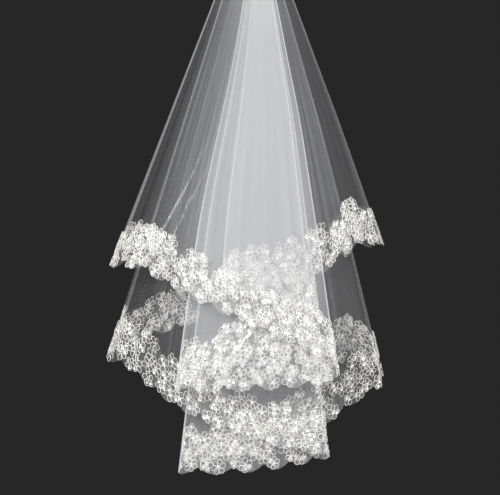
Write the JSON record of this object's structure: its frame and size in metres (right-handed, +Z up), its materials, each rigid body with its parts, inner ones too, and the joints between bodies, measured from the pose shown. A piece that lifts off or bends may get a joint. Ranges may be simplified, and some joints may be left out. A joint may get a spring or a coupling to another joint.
{
  "type": "two-tier bridal veil",
  "caption": "Two-tier bridal veil of gathered white tulle with a broad scalloped edging of sequinned flower lace, hanging in folds from its hair comb.",
  "frame": {"origin": "middle of the hair comb's spine, where the veil is held", "axes": "+Z up, the way the veil hangs; -Y towards a viewer behind the wearer; +Y towards the wearer's head; +X to that viewer's right"},
  "size_m": [0.4968, 0.2001, 0.907],
  "materials": {
    "white_tulle": "sheer net, soft sheen",
    "flower_lace": "corded and sequinned lace",
    "satin_ribbon": "satin",
    "clear_comb": "clear, polished"
  },
  "bodies": {
    "root": {"upper_tier": "white_tulle", "lower_tier": "white_tulle", "upper_lace_edging": "flower_lace", "lower_lace_edging": "flower_lace", "gather_binding": "satin_ribbon", "comb": "clear_comb"}
  },
  "joints": []
}
